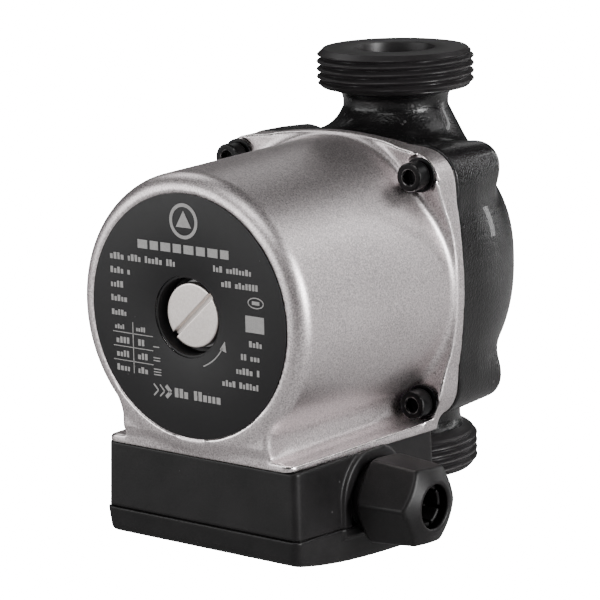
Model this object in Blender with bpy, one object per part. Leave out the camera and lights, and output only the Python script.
"""Wet-rotor circulator pump, built as separate named pieces.

Frame: the origin is the centre of the lower union's end face, +Z runs up the pipe,
the motor points to -Y and the cable gland to +X. All sizes are in metres.
"""
from math import cos, pi, radians, sin

import bmesh
import bpy
from mathutils import Matrix, Vector

MM = 0.001
GAP = 0.3 * MM                      # left between pieces that touch

# Pipe and cast housing
PORT_LENGTH = 130 * MM              # union face to union face
MOTOR_Z = PORT_LENGTH / 2           # height of the motor axis
CENTRE = (0, 0, MOTOR_Z)
THREAD_RADIUS = 23.9 * MM           # G 1 1/2
THREAD_DEPTH = 1.48 * MM
THREAD_PITCH = 2.309 * MM
THREAD_TURNS = 4
PORT_FACE_RADIUS = 21.9 * MM
PORT_BORE = 12 * MM
NECK_RADIUS = 16 * MM
BODY_HALF = 42 * MM                 # half the width of the cast body
BODY_POWER = 2.7                    # roundness of its section, 2 is a circle
DOME_START = -12 * MM
DOME_BACK = 32 * MM
HOUSING_FRONT = -25.7 * MM
SPIGOT_BORE = 38.6 * MM
SPIGOT_FLOOR = -17 * MM
CHAMBER_RADIUS = 33 * MM
CHAMBER_BACK = 2.5 * MM
EYE_RADIUS = 12.3 * MM
EYE_THROAT = 9.6 * MM
SUCTION_WALL = 3.4 * MM
# Water ways as (y, radius, height) stations in millimetres
SUCTION_SKIN = ((0, 12, 26), (9, 13.8, 36), (14.5, 12.6, 44), (15.5, 12.2, 56), (15.5, 11, 78),
                (15.5, 6, 84))
SUCTION_BORE = ((0, 12, -4), (0, 12, 14), (5, 11, 24), (14.8, 9.4, 34), (16, 9, 44), (16, 9, 76))
DELIVERY_BORE = ((0, 12, 134), (0, 12, 116), (-2, 11.4, 106), (-6, 10.2, 90))
# Neck profile as (radius, distance from the union's face)
NECK_PROFILE = ((NECK_RADIUS + 1.5 * MM, 12.8 * MM), (NECK_RADIUS, 15 * MM),
                (NECK_RADIUS + 1 * MM, 19 * MM),
                (21.2 * MM, 26.5 * MM), (22 * MM, 34 * MM), (0, 34 * MM))

# Screws between motor and housing
SCREW_OFFSET = 33.8 * MM
LOBE_OFFSET = 31.2 * MM
LOBE_RADIUS = 8.2 * MM
LOBE_BACK = -3 * MM
SCREW_RADIUS = 2.5 * MM
SCREW_HEAD_RADIUS = 4.25 * MM
SCREW_HEAD_FRONT = -40.6 * MM
SCREW_HEAD_HEIGHT = 5 * MM
SCREW_END = -9 * MM
WASHER_RADIUS = 5.1 * MM
WASHER_THICKNESS = 0.8 * MM
WASHER_SEAT = SCREW_HEAD_FRONT + SCREW_HEAD_HEIGHT + WASHER_THICKNESS + 2 * GAP

# Motor
FLANGE_BACK = -26 * MM
FLANGE_HALF = 42.4 * MM
FLANGE_POWER = 3
FLANGE_THIN = 4 * MM
LOBE_FRONT = -35.6 * MM
BARREL_FRONT = -100.2 * MM
BARREL_FRONT_RADIUS = 40.9 * MM
BARREL_REAR_RADIUS = 42 * MM
BARREL_RIM = 5 * MM
STATOR_BORE = 36 * MM
FRONT_WALL = 3.7 * MM
WAIST_HALF = 27 * MM
PLATE_HALF = 35 * MM
PLATE_FRONT = -97.8 * MM
PLATE_TOP = -38.2 * MM              # below the motor axis
PLATE_BOTTOM = -41 * MM
LABEL_RADIUS = 35.3 * MM
CENTRE_HOLE = 11.9 * MM
WIRE_HOLE = (0, -52 * MM)
WIRE_HOLE_RADIUS = 7 * MM

# Rotor and can
SHAFT_RADIUS = 4 * MM
BEARING_BORE = 4.1 * MM
BEARING_RADIUS = 8 * MM
ROTOR_RADIUS = 18.4 * MM
CAN_INNER = 19.9 * MM
CAN_OUTER = 20.6 * MM
CAN_FLANGE = 38.3 * MM
BUSH_BORE = 6.4 * MM
BUSH_FRONT = -94.5 * MM
PLUG_FRONT = -98.7 * MM
PLUG_SEAT = -96.3 * MM
PLUG_SLOT_HALF = 0.8 * MM
IMPELLER_RADIUS = 28 * MM
BLADES = 6
BLADE_STEPS = 3
BLADE_SWEEP = radians(70)

# Terminal box, heights below the motor axis
BOX_HALF = 34.7 * MM
BOX_FRONT = -97.4 * MM
BOX_BACK = -31 * MM
BOX_CORNER = 3 * MM
BOX_TOP = -41.3 * MM
BOX_WALL = 2.2 * MM
JOINT_FRONT = -61.2 * MM
JOINT_SLOPE = -0.05
LID_FRONT_BOTTOM = -69.2 * MM
LID_SLOPE = -0.1
LID_FLARE = 0.6 * MM
LID_SCREW = (4 * MM, -40 * MM)
BOX_SCREWS = ((-22 * MM, -88 * MM), (22 * MM, -40 * MM))
BOX_POST_END = -46.5 * MM
LID_POST_END = -60 * MM
ARCHES = ((15.4 * MM, 14 * MM), (12.4 * MM, 11 * MM))   # outer and inner radius round the gland
ARCH_HEIGHT = 0.8 * MM
ARCH_LEG_FRONT = -4.6 * MM          # below the gland axis, on the joint
ARCH_LEG_BACK = -6.2 * MM

# Cable gland
GLAND_Y = -62 * MM
GLAND_DROP = -56 * MM
GLAND_CORNER = 13.9 * MM            # hexagon corner radius of the nut
GLAND_HOLE = 6.6 * MM
GLAND_TURN = radians(4)

# Speed selector on the side opposite the gland
KNOB_Y = -62 * MM
KNOB_DROP = -52 * MM

FINISHES = {
    "black_cast_iron": ((0.018, 0.018, 0.020), 0.38, 0.0),
    "cast_aluminium": ((0.45, 0.44, 0.43), 0.45, 0.9),
    "stainless_steel": ((0.55, 0.55, 0.54), 0.28, 1.0),
    "nickel": ((0.62, 0.59, 0.54), 0.25, 1.0),
    "black_steel": ((0.02, 0.02, 0.022), 0.42, 0.6),
    "zinc_steel": ((0.55, 0.55, 0.52), 0.35, 1.0),
    "black_plastic": ((0.022, 0.022, 0.024), 0.48, 0.0),
    "grey_plastic": ((0.35, 0.36, 0.36), 0.5, 0.0),
    "black_rubber": ((0.015, 0.015, 0.015), 0.75, 0.0),
    "label_film": ((0.03, 0.03, 0.033), 0.45, 0.0),
    "lamination": ((0.25, 0.25, 0.26), 0.5, 0.8),
    "copper_winding": ((0.55, 0.23, 0.09), 0.4, 0.8),
    "carbon": ((0.04, 0.04, 0.042), 0.6, 0.0),
    "ceramic": ((0.75, 0.74, 0.70), 0.3, 0.0),
    "brass": ((0.65, 0.48, 0.20), 0.3, 1.0),
    "brown_wire": ((0.16, 0.06, 0.03), 0.5, 0.0),
    "blue_wire": ((0.04, 0.10, 0.35), 0.5, 0.0),
    "black_wire": ((0.02, 0.02, 0.02), 0.5, 0.0),
}


def clear_scene():
    for item in list(bpy.data.objects):
        bpy.data.objects.remove(item, do_unlink=True)


def above(height):
    """World height of a point given from the motor axis."""
    return MOTOR_Z + height


def make_material(name, finish):
    colour, roughness, metallic = FINISHES[finish]
    material = bpy.data.materials.new(name)
    material.use_nodes = True
    shader = material.node_tree.nodes["Principled BSDF"]
    shader.inputs["Base Color"].default_value = (*colour, 1)
    shader.inputs["Roughness"].default_value = roughness
    shader.inputs["Metallic"].default_value = metallic
    material.diffuse_color = (*colour, 1)
    return material


def add_piece(name, form, finish, place=(0, 0, 0)):
    """Put a finished bmesh into the scene as one object."""
    bmesh.ops.recalc_face_normals(form, faces=form.faces[:])
    mesh = bpy.data.meshes.new(name)
    form.to_mesh(mesh)
    form.free()
    mesh.shade_smooth()
    mesh.set_sharp_from_angle(angle=radians(35))
    piece = bpy.data.objects.new(name, mesh)
    piece.location = place
    if finish:
        mesh.materials.append(make_material(name, finish))
    bpy.context.scene.collection.objects.link(piece)
    return piece


def turned(name, profile, finish, axis="Y", place=(0, 0, 0), segments=20):
    """Spin a profile of (radius, position along the axis) points into a closed solid.

    A profile that starts and ends on the axis makes a plug, any other makes a ring.
    """
    lay = {"X": lambda r, h: (h, r, 0), "Y": lambda r, h: (r, h, 0),
           "Z": lambda r, h: (r, 0, h)}[axis]
    around = {"X": (1, 0, 0), "Y": (0, 1, 0), "Z": (0, 0, 1)}[axis]
    form = bmesh.new()
    points = [form.verts.new(lay(r, h)) for r, h in profile]
    pairs = list(zip(points, points[1:]))
    if profile[0][0] > 0:
        pairs.append((points[-1], points[0]))
    edges = [form.edges.new(pair) for pair in pairs]
    bmesh.ops.spin(form, geom=points + edges, cent=(0, 0, 0), axis=around,
                   angle=2 * pi, steps=segments, use_merge=True)
    bmesh.ops.remove_doubles(form, verts=form.verts[:], dist=1e-7)
    return add_piece(name, form, finish, place)


def skinned(name, rings, finish, place=(0, 0, 0)):
    """Join rings of equal point count into one closed skin, capped at both ends."""
    form = bmesh.new()
    loops = [[form.verts.new(point) for point in ring] for ring in rings]
    count = len(loops[0])
    for lower, upper in zip(loops, loops[1:]):
        for i in range(count):
            k = (i + 1) % count
            form.faces.new((lower[i], lower[k], upper[k], upper[i]))
    form.faces.new(loops[0])
    form.faces.new(loops[-1])
    return add_piece(name, form, finish, place)


def prism(name, outline, low, high, finish, axis="Y", place=(0, 0, 0)):
    """Extrude a flat outline along an axis between two positions."""
    lay = {"X": lambda a, b, h: (h, a, b), "Y": lambda a, b, h: (a, h, b),
           "Z": lambda a, b, h: (a, b, h)}[axis]
    rings = [[lay(a, b, h) for a, b in outline] for h in (low, high)]
    return skinned(name, rings, finish, place)


def combine(piece, operation, tools):
    """Union or cut a piece with helper solids, one after another, and remove the helpers."""
    for tool in tools:
        step = piece.modifiers.new(tool.name, "BOOLEAN")
        step.operation = operation
        step.solver = "EXACT"
        step.object = tool
        bpy.context.view_layer.update()
        graph = bpy.context.evaluated_depsgraph_get()
        mesh = bpy.data.meshes.new_from_object(piece.evaluated_get(graph))
        piece.modifiers.clear()
        form = bmesh.new()
        form.from_mesh(mesh)
        bmesh.ops.remove_doubles(form, verts=form.verts[:], dist=2e-6)
        bmesh.ops.dissolve_degenerate(form, edges=form.edges[:], dist=2e-6)
        form.to_mesh(mesh)
        form.free()
        piece.data = mesh
        bpy.data.objects.remove(tool, do_unlink=True)
    return piece


def rod(name, radius, low, high, axis="Y", place=(0, 0, 0), segments=20, finish=None):
    return turned(name, [(0, low), (radius, low), (radius, high), (0, high)], finish, axis, place, segments)


def ring(name, inner, outer, low, high, finish, axis="Y", place=(0, 0, 0), segments=20):
    return turned(name, [(inner, low), (outer, low), (outer, high), (inner, high)], finish, axis, place,
                  segments)


def polygon(radius, sides, turn=0.0):
    return [(radius * cos(turn + 2 * pi * i / sides), radius * sin(turn + 2 * pi * i / sides))
            for i in range(sides)]


def strip(half_length, half_width):
    """Outline of a straight slot, rib or groove centred on the origin."""
    return [(-half_length, -half_width), (half_length, -half_width), (half_length, half_width),
            (-half_length, half_width)]


def superellipse(half, power, count):
    points = []
    for i in range(count):
        angle = 2 * pi * i / count
        reach = (abs(cos(angle)) ** power + abs(sin(angle)) ** power) ** (-1 / power)
        points.append((half * reach * cos(angle), half * reach * sin(angle)))
    return points


def rounded_box(left, right, front, back, corner, steps=4):
    """Outline of a rectangle with round corners, counter-clockwise from the right front."""
    centres = ((right - corner, front + corner, -90), (right - corner, back - corner, 0),
               (left + corner, back - corner, 90), (left + corner, front + corner, 180))
    points = []
    for cx, cy, start in centres:
        for i in range(steps + 1):
            angle = radians(start + 90 * i / steps)
            points.append((cx + corner * cos(angle), cy + corner * sin(angle)))
    return points


def corners(offset):
    """The four screw positions, from the upper right clockwise as seen from the motor."""
    return [(sx * offset, above(sz * offset)) for sx, sz in ((1, 1), (1, -1), (-1, -1), (-1, 1))]


def pump_housing():
    sections = [(HOUSING_FRONT, 1.0), (DOME_START, 1.0)]
    depth = DOME_BACK - DOME_START
    for i in range(1, 6):
        angle = radians(16 * i)
        sections.append((DOME_START + depth * sin(angle), cos(angle)))
    rings = []
    for y, scale in sections:
        rings.append([(x, y, above(z)) for x, z in superellipse(BODY_HALF * scale, BODY_POWER, 36)])
    body = skinned("pump_housing", rings, "black_cast_iron")

    solids = []
    for i, (x, z) in enumerate(corners(LOBE_OFFSET)):
        profile = [(0, HOUSING_FRONT), (LOBE_RADIUS, HOUSING_FRONT), (LOBE_RADIUS, LOBE_BACK - 2.5 * MM),
                   (LOBE_RADIUS - 2.5 * MM, LOBE_BACK), (0, LOBE_BACK)]
        solids.append(turned(f"lobe_{i}", profile, None, place=(x, 0, z), segments=14))

    for name, sign, face in (("upper", -1, PORT_LENGTH), ("lower", 1, 0)):
        # Measured from the union's end face, down the neck to inside the body
        steps = [(0, 0), (PORT_FACE_RADIUS, 0)]
        crest = 2 * MM
        for turn in range(THREAD_TURNS):
            steps += [(THREAD_RADIUS, crest), (THREAD_RADIUS - THREAD_DEPTH, crest + THREAD_PITCH / 2)]
            crest += THREAD_PITCH
        steps += [(THREAD_RADIUS, crest), *NECK_PROFILE]
        profile = [(r, face + sign * h) for r, h in steps]
        solids.append(turned(f"{name}_union", profile, None, axis="Z", segments=28))

    solids.append(duct("suction_wall", SUCTION_SKIN, SUCTION_WALL))
    combine(body, "UNION", solids)

    cuts = [rod("spigot", SPIGOT_BORE, HOUSING_FRONT - 5 * MM, SPIGOT_FLOOR, place=CENTRE, segments=40),
            rod("chamber", CHAMBER_RADIUS, HOUSING_FRONT - 6 * MM, CHAMBER_BACK, place=CENTRE, segments=28),
            rod("eye", EYE_RADIUS, -4 * MM, 7.6 * MM, place=CENTRE, segments=20),
            rod("eye_throat", EYE_THROAT, -6 * MM, 16 * MM, place=CENTRE, segments=20),
            duct("suction_bore", SUCTION_BORE), duct("delivery_bore", DELIVERY_BORE)]
    for i, (x, z) in enumerate(corners(SCREW_OFFSET)):
        cuts.append(rod(f"tapped_{i}", SCREW_RADIUS + GAP, HOUSING_FRONT - 2 * MM, SCREW_END + 1.5 * MM,
                        place=(x, 0, z), segments=10))
    return combine(body, "DIFFERENCE", cuts)


def duct(name, stations, wall=0.0):
    """Upright passage through circles given as (y, radius, height) in millimetres."""
    rings = []
    for y, radius, height in stations:
        rings.append([(a, y * MM + b, height * MM) for a, b in polygon(radius * MM + wall, 20)])
    return skinned(name, rings, None)


def housing_internals():
    ring("neck_ring", 10.1 * MM, EYE_RADIUS - GAP, CHAMBER_BACK - 1.2 * MM, 7.3 * MM, "stainless_steel",
         place=CENTRE)
    profile = [(5 * MM, SPIGOT_FLOOR - GAP), (CAN_FLANGE, SPIGOT_FLOOR - GAP), (CAN_FLANGE, -20 * MM),
               (18.5 * MM, -20 * MM), (18.5 * MM, -21.6 * MM), (10.5 * MM, -21.6 * MM),
               (10.5 * MM, -27 * MM),
               (BEARING_RADIUS + GAP, -27 * MM), (BEARING_RADIUS + GAP, -18.6 * MM), (5 * MM, -18.6 * MM)]
    turned("bearing_plate", profile, "stainless_steel", place=CENTRE, segments=28)
    section = [(37 * MM + a, -22.5 * MM + b) for a, b in polygon(1.1 * MM, 6)]
    turned("housing_o_ring", section, "black_rubber", place=CENTRE, segments=28)


def impeller():
    back = [(SHAFT_RADIUS + GAP, -15.6 * MM), (IMPELLER_RADIUS, -15.6 * MM), (IMPELLER_RADIUS, -14 * MM),
            (9 * MM, -13.4 * MM), (7.5 * MM, -5 * MM), (SHAFT_RADIUS + GAP, -5 * MM)]
    body = turned("impeller", back, "stainless_steel", place=CENTRE, segments=28)
    cover = [(9.7 * MM, 5.6 * MM), (9.7 * MM, 0.4 * MM), (IMPELLER_RADIUS, -6.5 * MM),
             (IMPELLER_RADIUS, -7.7 * MM), (12 * MM, -2.6 * MM), (8.7 * MM, 0.6 * MM), (8.7 * MM, 5.6 * MM)]
    parts = [turned("impeller_cover", cover, None, place=CENTRE, segments=28)]
    for k in range(BLADES):
        # Each blade sweeps back as it runs from the eye to the rim
        start = 2 * pi * k / BLADES
        near, far = [], []
        for i in range(BLADE_STEPS + 1):
            t = i / BLADE_STEPS
            radius = 11.5 * MM + (IMPELLER_RADIUS - 12 * MM) * t
            angle = start + BLADE_SWEEP * t
            half = 0.6 * MM / radius
            near.append((radius * cos(angle - half), radius * sin(angle - half)))
            far.append((radius * cos(angle + half), radius * sin(angle + half)))
        rings = []
        for side in (-1, 1):
            line = []
            for i, (x, z) in enumerate(near + far[::-1]):
                t = min(i, 2 * BLADE_STEPS + 1 - i) / BLADE_STEPS
                top = (-1.6 - 5.6 * t) * MM
                line.append((x, -15.0 * MM if side < 0 else top, above(z)))
            rings.append(line)
        parts.append(skinned(f"blade_{k}", rings, None))
    combine(body, "UNION", parts)
    profile = [(SHAFT_RADIUS + GAP, -4.6 * MM), (6.6 * MM, -4.6 * MM), (6.6 * MM, -1.4 * MM),
               (5.4 * MM, 0.2 * MM), (SHAFT_RADIUS + GAP, 0.2 * MM)]
    turned("impeller_collar", profile, "stainless_steel", place=CENTRE)


def rotor():
    shaft = turned("shaft", [(0, -89 * MM), (3.4 * MM, -89 * MM), (SHAFT_RADIUS, -88.3 * MM),
                             (SHAFT_RADIUS, 0.4 * MM), (3.2 * MM, 1.2 * MM), (0, 1.2 * MM)],
                   "ceramic", place=CENTRE, segments=24)
    slot = prism("shaft_slot", strip(6 * MM, 0.6 * MM), -92 * MM, -87.2 * MM, None, place=CENTRE)
    combine(shaft, "DIFFERENCE", [slot])
    bore = SHAFT_RADIUS + GAP
    ring("rotor_core", bore, ROTOR_RADIUS, -73 * MM, -37 * MM, "lamination", place=CENTRE, segments=28)
    ring("rotor_end_ring_front", bore + 4 * MM, ROTOR_RADIUS - 0.6 * MM, -76.2 * MM, -73 * MM - GAP,
         "cast_aluminium", place=CENTRE)
    ring("rotor_end_ring_rear", bore + 4 * MM, ROTOR_RADIUS - 0.6 * MM, -37 * MM + GAP, -33.8 * MM,
         "cast_aluminium", place=CENTRE)
    ring("rotor_sleeve", ROTOR_RADIUS + GAP, ROTOR_RADIUS + 0.8 * MM, -76.4 * MM, -33.6 * MM,
         "stainless_steel", place=CENTRE, segments=28)
    ring("thrust_bearing", bore, 8.2 * MM, -30.4 * MM, -27.4 * MM, "carbon", place=CENTRE)
    profile = [(bore, -33.4 * MM), (9.6 * MM, -33.4 * MM), (9.6 * MM, -28.6 * MM), (8.5 * MM, -28.6 * MM),
               (8.5 * MM, -30.7 * MM), (bore, -30.7 * MM)]
    turned("thrust_bearing_seat", profile, "black_rubber", place=CENTRE)


def can_and_bearings():
    back = -20 * MM - GAP
    profile = [(CAN_INNER, back), (CAN_FLANGE, back), (CAN_FLANGE, back - 0.8 * MM),
               (CAN_OUTER, back - 1.1 * MM),
               (CAN_OUTER, -86 * MM), (CAN_OUTER - 1.2 * MM, -87.2 * MM), (10.3 * MM, -87.2 * MM),
               (10.3 * MM, BUSH_FRONT), (BUSH_BORE, BUSH_FRONT), (BUSH_BORE, -86.4 * MM),
               (CAN_INNER, -86.4 * MM)]
    turned("rotor_can", profile, "stainless_steel", place=CENTRE, segments=30)
    ring("radial_bearing_rear", BEARING_BORE, BEARING_RADIUS, -26.8 * MM, -18.9 * MM, "ceramic",
         place=CENTRE)
    ring("radial_bearing_front", BEARING_BORE, BEARING_RADIUS, -85.6 * MM, -78.6 * MM, "ceramic",
         place=CENTRE)
    profile = [(BEARING_RADIUS + GAP, -86 * MM), (CAN_INNER - GAP, -86 * MM), (CAN_INNER - GAP, -84.8 * MM),
               (10 * MM, -84 * MM), (10 * MM, -78.8 * MM), (BEARING_RADIUS + GAP, -78.8 * MM)]
    turned("front_bearing_carrier", profile, "stainless_steel", place=CENTRE)


def stator():
    core = ring("stator_core", CAN_OUTER + GAP, STATOR_BORE - 0.4 * MM, -73 * MM, -37 * MM, "lamination",
                place=CENTRE, segments=40)
    slots = []
    for k in range(8):
        angle = 2 * pi * (k + 0.5) / 8
        outline = [(19 * MM, -1.0 * MM), (23 * MM, -1.2 * MM), (29 * MM, -3.4 * MM), (29 * MM, 3.4 * MM),
                   (23 * MM, 1.2 * MM), (19 * MM, 1.0 * MM)]
        turn = Matrix.Rotation(angle, 2)
        outline = [tuple(turn @ Vector(point)) for point in outline]
        slots.append(prism(f"slot_{k}", outline, -80 * MM, -30 * MM, None, place=CENTRE))
    combine(core, "DIFFERENCE", slots)
    for name, near, far in (("stator_winding_rear", -36.7 * MM, -29 * MM),
                            ("stator_winding_front", -73.3 * MM, -82 * MM)):
        bulge = (far - near) * 0.72
        profile = [(22 * MM, near), (33.5 * MM, near), (34.2 * MM, near + bulge * 0.6),
                   (32.5 * MM, near + bulge),
                   (28 * MM, far), (24 * MM, near + bulge), (22.2 * MM, near + bulge * 0.6)]
        turned(name, profile, "copper_winding", place=CENTRE, segments=24)


def stator_housing():
    rim = []
    for i in range(4):
        angle = radians(30 * i)
        rim.append((BARREL_FRONT_RADIUS - BARREL_RIM + BARREL_RIM * sin(angle),
                    BARREL_FRONT + BARREL_RIM - BARREL_RIM * cos(angle)))
    profile = [(0, BARREL_FRONT)] + rim + [(BARREL_REAR_RADIUS, -30 * MM),
                                           (BARREL_REAR_RADIUS, FLANGE_BACK),
                                           (0, FLANGE_BACK)]
    body = turned("stator_housing", profile, "cast_aluminium", place=CENTRE, segments=48)

    solids = [prism("flange", superellipse(FLANGE_HALF, FLANGE_POWER, 36), FLANGE_BACK - FLANGE_THIN,
                    FLANGE_BACK,
                    None, place=CENTRE)]
    for i, (x, z) in enumerate(corners(LOBE_OFFSET)):
        solids.append(rod(f"lobe_{i}", LOBE_RADIUS, LOBE_FRONT, FLANGE_BACK, place=(x, 0, z), segments=14))
    waist = [(-WAIST_HALF, PLATE_BOTTOM + 1 * MM), (WAIST_HALF, PLATE_BOTTOM + 1 * MM),
             (WAIST_HALF, -24 * MM),
             (-WAIST_HALF, -24 * MM)]
    solids.append(prism("waist", waist, BARREL_FRONT + 2 * MM, FLANGE_BACK - 1 * MM, None, place=CENTRE))
    plate = rounded_box(-PLATE_HALF, PLATE_HALF, PLATE_FRONT, FLANGE_BACK - 0.5 * MM, BOX_CORNER)
    solids.append(prism("base_plate", plate, above(PLATE_BOTTOM), above(PLATE_TOP), None, axis="Z"))
    solids.append(rod("spigot", SPIGOT_BORE - GAP, FLANGE_BACK - 2 * MM, FLANGE_BACK + 2 * MM, place=CENTRE,
                      segments=48))
    combine(body, "UNION", solids)

    under = [(-50 * MM, -50 * MM), (50 * MM, -50 * MM), (50 * MM, PLATE_BOTTOM), (-50 * MM, PLATE_BOTTOM)]
    cuts = [prism("flat_underside", under, BARREL_FRONT - 5 * MM, FLANGE_BACK - FLANGE_THIN - 0.5 * MM,
                  None,
                  place=CENTRE),
            rod("stator_space", STATOR_BORE, BARREL_FRONT + FRONT_WALL, FLANGE_BACK + 8 * MM, place=CENTRE,
                segments=48),
            rod("centre_hole", CENTRE_HOLE, BARREL_FRONT - 5 * MM, BARREL_FRONT + 6 * MM, place=CENTRE,
                segments=32),
            rod("wire_hole", WIRE_HOLE_RADIUS, above(-48 * MM), above(-30 * MM), axis="Z",
                place=(*WIRE_HOLE, 0),
                segments=16)]
    for i, (x, z) in enumerate(corners(SCREW_OFFSET)):
        cuts.append(rod(f"clearance_{i}", SCREW_RADIUS + 2 * GAP, -60 * MM, FLANGE_BACK + 6 * MM,
                        place=(x, 0, z),
                        segments=10))
        cuts.append(rod(f"spot_face_{i}", WASHER_RADIUS + 2 * GAP, -60 * MM, WASHER_SEAT, place=(x, 0, z),
                        segments=16))
    for i, (x, y) in enumerate(BOX_SCREWS):
        cuts.append(rod(f"box_tap_{i}", 1.5 * MM + GAP, above(-44 * MM), above(-34.5 * MM), axis="Z",
                        place=(x, y, 0), segments=12))
    combine(body, "DIFFERENCE", cuts)

    ring("label_plate", CENTRE_HOLE, LABEL_RADIUS, BARREL_FRONT - GAP - 0.4 * MM, BARREL_FRONT - GAP,
         "label_film",
         place=CENTRE, segments=48)


def vent_plug():
    profile = [(0, PLUG_FRONT), (9.0 * MM, PLUG_FRONT), (9.4 * MM, PLUG_FRONT + 0.4 * MM),
               (9.4 * MM, PLUG_SEAT),
               (BUSH_BORE - GAP, PLUG_SEAT), (BUSH_BORE - GAP, -91 * MM), (5.2 * MM, -90 * MM),
               (0, -90 * MM)]
    plug = turned("vent_plug", profile, "nickel", place=CENTRE, segments=28)
    slot = prism("slot", strip(12 * MM, PLUG_SLOT_HALF), -104 * MM, -97.3 * MM, None)
    slot.rotation_euler = (0, radians(-45), 0)
    slot.location = CENTRE
    combine(plug, "DIFFERENCE", [slot])
    section = [(7.6 * MM + 0.65 * MM * cos(radians(60 * i)), -95.4 * MM + 0.6 * MM * sin(radians(60 * i)))
               for i in range(6)]
    turned("vent_plug_o_ring", section, "black_rubber", place=CENTRE)


def flange_screws():
    for i, (x, z) in enumerate(corners(SCREW_OFFSET), start=1):
        under_head = SCREW_HEAD_FRONT + SCREW_HEAD_HEIGHT
        profile = [(0, SCREW_HEAD_FRONT), (SCREW_HEAD_RADIUS - 0.4 * MM, SCREW_HEAD_FRONT),
                   (SCREW_HEAD_RADIUS, SCREW_HEAD_FRONT + 0.4 * MM), (SCREW_HEAD_RADIUS, under_head),
                   (SCREW_RADIUS, under_head), (SCREW_RADIUS, SCREW_END - 0.6 * MM),
                   (SCREW_RADIUS - 0.6 * MM, SCREW_END), (0, SCREW_END)]
        screw = turned(f"flange_screw_{i}", profile, "black_steel", place=(x, 0, z), segments=16)
        socket = prism("socket", polygon(2.31 * MM, 6, radians(20 * i)), SCREW_HEAD_FRONT - 2 * MM,
                       SCREW_HEAD_FRONT + 2.6 * MM, None, place=(x, 0, z))
        combine(screw, "DIFFERENCE", [socket])
        seat = under_head + GAP
        ring(f"flange_washer_{i}", SCREW_RADIUS + GAP, WASHER_RADIUS, seat, seat + WASHER_THICKNESS,
             "black_steel",
             place=(x, 0, z), segments=16)


def joint_height(y):
    """Height of the sloping joint between box and lid."""
    return above(JOINT_FRONT + JOINT_SLOPE * (y - BOX_FRONT))


def lid_floor(y):
    return above(LID_FRONT_BOTTOM + LID_SLOPE * (y - BOX_FRONT))


def box_roof(y):
    return above(BOX_TOP)


def box_ring(inset, height, step=0.0):
    """Points of the box outline, moved in by inset, a step above the height that a function of y gives."""
    outline = rounded_box(-BOX_HALF + inset, BOX_HALF - inset, BOX_FRONT + inset, BOX_BACK - inset,
                          max(BOX_CORNER - inset, 0.8 * MM))
    return [(x, y, height(y) + step) for x, y in outline]


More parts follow.
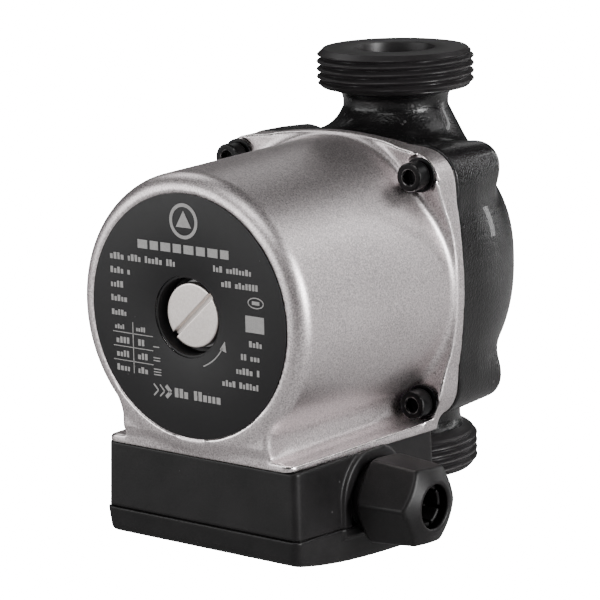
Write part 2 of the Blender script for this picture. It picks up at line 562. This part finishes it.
def terminal_box():
    roof = above(BOX_TOP)
    rings = [box_ring(BOX_WALL, box_roof, -2 * MM), box_ring(BOX_WALL, joint_height),
             box_ring(0, joint_height),
             box_ring(0, box_roof)]
    base = skinned("terminal_box_base", rings, "black_plastic")
    solids = [rod("lid_post", 4.2 * MM, above(LID_POST_END), roof - 1 * MM, axis="Z", place=(*LID_SCREW, 0),
                  segments=12)]
    for i, (x, y) in enumerate(BOX_SCREWS):
        solids.append(rod(f"post_{i}", 4 * MM, above(BOX_POST_END), roof - 1 * MM, axis="Z",
                          place=(x, y, 0),
                          segments=12))
    gland = (0, GLAND_Y, above(GLAND_DROP))
    for i, (outer, inner) in enumerate(ARCHES):
        # A raised half-hoop over the gland entry whose legs run down to the joint, cut level below the roof
        hoop = [(cos(pi * k / 8), sin(pi * k / 8)) for k in range(9)]
        line = [(outer * a, outer * b) for a, b in hoop] + [(-outer, ARCH_LEG_FRONT),
                                                            (-inner, ARCH_LEG_FRONT)]
        line += [(inner * a, inner * b) for a, b in hoop[::-1]] + [(inner, ARCH_LEG_BACK),
                                                                   (outer, ARCH_LEG_BACK)]
        line = [(a, min(b, BOX_TOP - GLAND_DROP - 0.4 * MM)) for a, b in line]
        solids.append(prism(f"arch_{i}", line, BOX_HALF - 0.5 * MM, BOX_HALF + ARCH_HEIGHT, None, axis="X",
                            place=gland))
    combine(base, "UNION", solids)
    cuts = [rod("gland_hole", 8.3 * MM, BOX_HALF - 6 * MM, BOX_HALF + 6 * MM, axis="X", place=gland,
                segments=20),
            rod("wire_hole", WIRE_HOLE_RADIUS, above(-48 * MM), above(-36 * MM), axis="Z",
                place=(*WIRE_HOLE, 0),
                segments=16),
            rod("knob_hole", 4.6 * MM, -BOX_HALF - 5 * MM, -BOX_HALF + 5 * MM, axis="X",
                place=(0, KNOB_Y, above(KNOB_DROP)), segments=16),
            rod("lid_tap", 1.5 * MM + GAP, above(-64 * MM), above(-45 * MM), axis="Z",
                place=(*LID_SCREW, 0),
                segments=12)]
    for i, (x, y) in enumerate(BOX_SCREWS):
        cuts.append(rod(f"box_hole_{i}", 1.5 * MM + 2 * GAP, above(-50 * MM), above(-36 * MM), axis="Z",
                        place=(x, y, 0), segments=12))
    combine(base, "DIFFERENCE", cuts)

    for i, (x, y) in enumerate(BOX_SCREWS, start=1):
        head = above(BOX_POST_END) - GAP
        profile = [(0, head - 2 * MM), (2.4 * MM, head - 2 * MM), (2.9 * MM, head - 1.2 * MM),
                   (2.9 * MM, head),
                   (1.5 * MM, head), (1.5 * MM, above(-35.6 * MM)), (0, above(-35.2 * MM))]
        turned(f"box_screw_{i}", profile, "zinc_steel", axis="Z", place=(x, y, 0), segments=12)

    def rim(y):
        return joint_height(y) - GAP

    # From the inner floor up to the rim, over it and down the outside, as (inset, height, step from it)
    lid_steps = ((BOX_WALL + 0.6 * MM, lid_floor, 2.2 * MM), (BOX_WALL, rim, 0), (-LID_FLARE, rim, 0),
                 (-LID_FLARE, rim, -1 * MM), (-0.1 * MM, lid_floor, 2.4 * MM),
                 (0.7 * MM, lid_floor, 0.8 * MM),
                 (2.4 * MM, lid_floor, 0))
    rings = [box_ring(inset, height, step) for inset, height, step in lid_steps]
    lid = skinned("terminal_box_lid", rings, "black_plastic")
    seat = lid_floor(LID_SCREW[1]) + 4.4 * MM
    pillar = rod("pillar", 4.2 * MM, seat - 3.6 * MM, above(LID_POST_END) - 2 * GAP, axis="Z",
                 place=(*LID_SCREW, 0),
                 segments=12)
    combine(lid, "UNION", [pillar])
    notch = rod("gland_notch", 10.8 * MM, 29 * MM, 45 * MM, axis="X", place=gland, segments=20)
    cuts = [notch,
            rod("screw_hole", 2.1 * MM, above(-90 * MM), above(-50 * MM), axis="Z", place=(*LID_SCREW, 0),
                segments=16),
            rod("counterbore", 3.7 * MM, above(-90 * MM), seat - 1.4 * MM, axis="Z", place=(*LID_SCREW, 0),
                segments=16)]
    combine(lid, "DIFFERENCE", cuts)
    top = seat - 1.4 * MM - GAP
    profile = [(0, top - 2.2 * MM), (2.9 * MM, top - 2.2 * MM), (3.3 * MM, top - 1.4 * MM), (3.3 * MM, top),
               (1.5 * MM, top), (1.5 * MM, above(-48 * MM)), (0, above(-47 * MM))]
    screw = turned("lid_screw", profile, "zinc_steel", axis="Z", place=(*LID_SCREW, 0), segments=12)
    slot = prism("slot", strip(5 * MM, 0.5 * MM), top - 4 * MM, top - 1.1 * MM, None, axis="Z",
                 place=(*LID_SCREW, 0))
    combine(screw, "DIFFERENCE", [slot])

    outer, inner = BOX_WALL + GAP, BOX_WALL + 1.5 * MM
    half = 1.2 * MM
    gasket_form([box_ring(inset, joint_height, step)
                 for inset, step in ((inner, -half), (inner, half), (outer, half), (outer, -half))])


def gasket_form(rings):
    """A ring of four edges, closed on itself."""
    form = bmesh.new()
    loops = [[form.verts.new(point) for point in ring] for ring in rings]
    count = len(loops[0])
    for k, lower in enumerate(loops):
        upper = loops[(k + 1) % len(loops)]
        for i in range(count):
            n = (i + 1) % count
            form.faces.new((lower[i], lower[n], upper[n], upper[i]))
    gasket = add_piece("lid_gasket", form, "black_rubber")
    notch = rod("gland_notch", 12.6 * MM, 20 * MM, 45 * MM, axis="X", place=(0, GLAND_Y, above(GLAND_DROP)))
    combine(gasket, "DIFFERENCE", [notch])


def box_internals():
    low, high = above(-58 * MM), above(-44.5 * MM)
    block = prism("terminal_block", rounded_box(-10 * MM, 24 * MM, -92 * MM, -78 * MM, 1 * MM, 1), low,
                  high,
                  "grey_plastic", axis="Z")
    holes = []
    for k in range(4):
        x = (-6 + 8.5 * k) * MM
        holes.append(rod(f"screw_well_{k}", 2.3 * MM, low - 2 * MM, low + 8 * MM, axis="Z",
                         place=(x, -88 * MM, 0),
                         segments=12))
        holes.append(rod(f"wire_well_{k}", 1.5 * MM, -82 * MM, -70 * MM, axis="Y",
                         place=(x, 0, low + 4 * MM),
                         segments=10))
    combine(block, "DIFFERENCE", holes)
    for k in range(4):
        x = (-6 + 8.5 * k) * MM
        screw = turned(f"terminal_screw_{k + 1}", [(0, low + 1.2 * MM), (1.9 * MM, low + 1.2 * MM),
                                                  (1.9 * MM, low + 3 * MM), (1.2 * MM, low + 3 * MM),
                                                  (1.2 * MM, low + 7.4 * MM), (0, low + 7.4 * MM)],
                       "brass", axis="Z", place=(x, -88 * MM, 0), segments=10)
        slot = prism("slot", strip(3 * MM, 0.3 * MM), low, low + 2 * MM, None, axis="Z",
                     place=(x, -88 * MM, 0))
        combine(screw, "DIFFERENCE", [slot])
    centre = (-14.5 * MM, 0, above(-53.5 * MM))
    profile = [(0, -72 * MM), (7 * MM, -72 * MM), (8 * MM, -71 * MM), (8 * MM, -37 * MM),
               (7 * MM, -36 * MM),
               (0, -36 * MM)]
    turned("capacitor", profile, "grey_plastic", place=centre)

    centre = (0, KNOB_Y, above(KNOB_DROP))
    profile = [(0, -40.5 * MM), (5.6 * MM, -40.5 * MM), (6.4 * MM, -39.7 * MM),
               (7.4 * MM, -BOX_HALF - 1.6 * MM),
               (7.4 * MM, -BOX_HALF - GAP), (4.2 * MM, -BOX_HALF - GAP), (4.2 * MM, -31.6 * MM),
               (0, -31.6 * MM)]
    knob = turned("speed_knob", profile, "grey_plastic", axis="X", place=centre, segments=24)
    groove = prism("groove", strip(0.7 * MM, 9 * MM),
                   -44 * MM, -39.4 * MM, None, axis="X", place=centre)
    combine(knob, "DIFFERENCE", [groove])
    body = rounded_box(-31.3 * MM, -23.6 * MM, KNOB_Y - 7 * MM, KNOB_Y + 7 * MM, 1 * MM, 1)
    prism("speed_switch", body, above(-58.5 * MM), above(-44.5 * MM), "grey_plastic", axis="Z")


def cable_gland():
    place = (0, GLAND_Y, above(GLAND_DROP))
    profile = [(6 * MM, 28 * MM), (8 * MM, 28 * MM), (8 * MM, 35.8 * MM), (10.2 * MM, 35.8 * MM),
               (10.2 * MM, 38 * MM), (9.4 * MM, 38.6 * MM), (9.4 * MM, 48 * MM), (7.6 * MM, 48 * MM),
               (6 * MM, 44 * MM)]
    turned("gland_body", profile, "black_plastic", axis="X", place=place, segments=20)
    ring("gland_washer", 8.3 * MM, 10.4 * MM, BOX_HALF + GAP * 0.4, 35.5 * MM, "black_rubber", axis="X",
         place=place)
    locknut = prism("gland_locknut", polygon(12 * MM, 6), 28.4 * MM, 32.1 * MM, "black_plastic", axis="X",
                    place=place)
    combine(locknut, "DIFFERENCE", [rod("bore", 8.3 * MM, 20 * MM, 40 * MM, axis="X", place=place,
                                        segments=20)])

    outline = polygon(GLAND_CORNER, 6, pi - GLAND_TURN)
    rings = []
    for x, scale in ((38.6, 0.99), (39.4, 1.02), (53.6, 0.97), (56, 0.86), (57.2, 0.72)):
        rings.append([(x * MM, a * scale, b * scale) for a, b in outline])
    nut = skinned("gland_nut", rings, "black_plastic", place)
    bore = [(0, 30 * MM), (9.7 * MM, 30 * MM), (9.7 * MM, 49.2 * MM), (8.6 * MM, 53.2 * MM),
            (GLAND_HOLE, 55.6 * MM),
            (GLAND_HOLE, 60 * MM), (0, 60 * MM)]
    combine(nut, "DIFFERENCE", [turned("nut_bore", bore, None, axis="X", place=place, segments=20)])

    profile = [(5 * MM, 45 * MM), (5.7 * MM, 45 * MM), (7.3 * MM, 48.3 * MM), (8.9 * MM, 48.6 * MM),
               (8.2 * MM, 51.6 * MM), (6.3 * MM, 54.6 * MM), (5.4 * MM, 54.6 * MM), (5 * MM, 51 * MM)]
    claw = turned("gland_clamp", profile, "black_plastic", axis="X", place=place, segments=18)
    slits = []
    for k in range(3):
        turn = Matrix.Rotation(pi * k / 3, 2)
        outline = [tuple(turn @ Vector(point)) for point in strip(12 * MM, 0.5 * MM)]
        slits.append(prism(f"slit_{k}", outline, 50 * MM, 60 * MM, None, axis="X", place=place))
    combine(claw, "DIFFERENCE", slits)


def motor_leads():
    """Three leads from the rear winding down through the wire hole to the terminals."""
    goals = (("motor_lead_brown", "brown_wire", -6, -3.0), ("motor_lead_blue", "blue_wire", 2.5, 0.0),
             ("motor_lead_black", "black_wire", 11, 3.0))
    for name, finish, target, side in goals:
        low = above(-54 * MM)
        route = [(side * MM, -52 * MM, above(-36.6 * MM)), (side * MM, -52 * MM, above(-41 * MM)),
                 (side * MM, -52.6 * MM, above(-46 * MM)), (side * 1.2 * MM, -57 * MM, above(-51 * MM)),
                 ((side + (target - side) * 0.5) * MM, -66 * MM, above(-53.4 * MM)),
                 (target * MM, -74 * MM, low), (target * MM, -80.5 * MM, low)]
        curve = bpy.data.curves.new(name, "CURVE")
        curve.dimensions = "3D"
        curve.bevel_depth = 0.75 * MM
        curve.bevel_resolution = 2
        curve.use_fill_caps = True
        line = curve.splines.new("POLY")
        points = smooth_route(route, 3)
        line.points.add(len(points) - 1)
        for point, place in zip(line.points, points):
            point.co = (*place, 1)
        lead = bpy.data.objects.new(name, curve)
        curve.materials.append(make_material(name, finish))
        bpy.context.scene.collection.objects.link(lead)


def smooth_route(route, steps):
    """Points on a smooth curve through the route's own points."""
    knots = [Vector(point) for point in route]
    knots = [knots[0] * 2 - knots[1]] + knots + [knots[-1] * 2 - knots[-2]]
    points = []
    for a, b, c, d in zip(knots, knots[1:], knots[2:], knots[3:]):
        for i in range(steps):
            t = i / steps
            points.append(0.5 * ((2 * b) + (c - a) * t + (2 * a - 5 * b + 4 * c - d) * t ** 2
                                 + (3 * b - a - 3 * c + d) * t ** 3))
    points.append(knots[-2])
    return points


clear_scene()
pump_housing()
housing_internals()
impeller()
rotor()
can_and_bearings()
stator()
stator_housing()
vent_plug()
flange_screws()
terminal_box()
box_internals()
cable_gland()
motor_leads()
